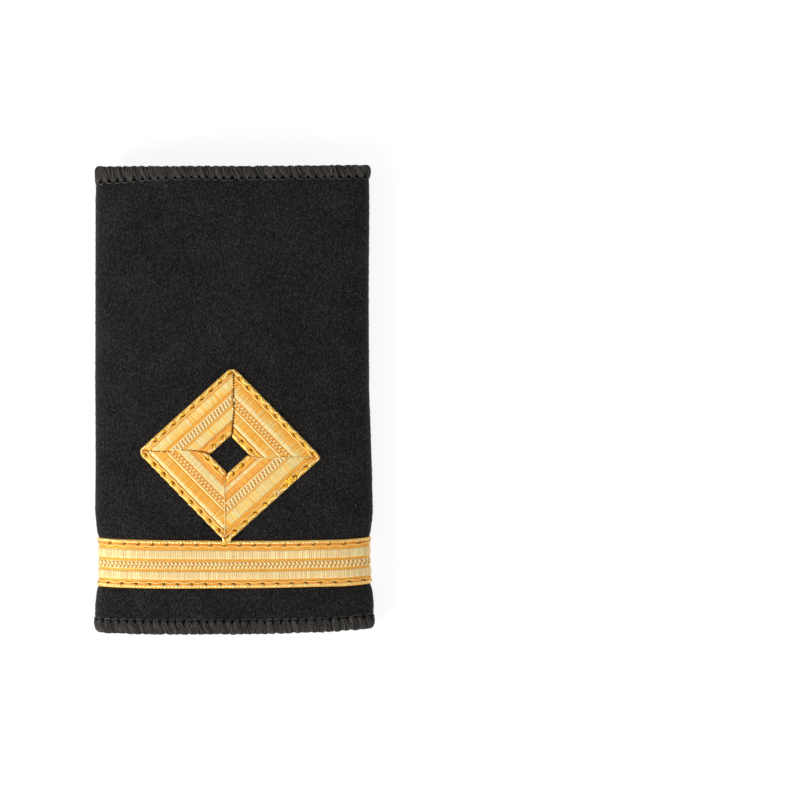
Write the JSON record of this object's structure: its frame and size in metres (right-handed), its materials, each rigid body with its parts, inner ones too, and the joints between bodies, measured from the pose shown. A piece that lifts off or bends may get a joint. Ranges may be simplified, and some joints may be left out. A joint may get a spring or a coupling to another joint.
{
  "type": "slip-on shoulder board",
  "caption": "Soft slip-on shoulder board of dark wool cloth, lapped and sewn behind, with overlocked edges, a gold lace stripe and an open gold lace diamond on its front.",
  "frame": {"origin": "on the surface that the board lies on, under the middle of its bounding box", "axes": "+X across the board to the right of its front, +Y along it to the collar end, +Z out of the front"},
  "size_m": [0.0577, 0.0962, 0.0116],
  "materials": {
    "wool_cloth": "matt milled wool with a short nap",
    "overlock_thread": "dull spun thread, wound close",
    "gold_lace": "shiny gilt thread, woven in ribs with a herringbone middle"
  },
  "bodies": {
    "root": {"cloth_sleeve": "wool_cloth", "top_overlock": "overlock_thread", "bottom_overlock": "overlock_thread", "flap_overlock": "overlock_thread", "rank_stripe": "gold_lace", "diamond_upper_left": "gold_lace", "diamond_upper_right": "gold_lace", "diamond_lower_right": "gold_lace", "diamond_lower_left": "gold_lace"}
  },
  "joints": []
}
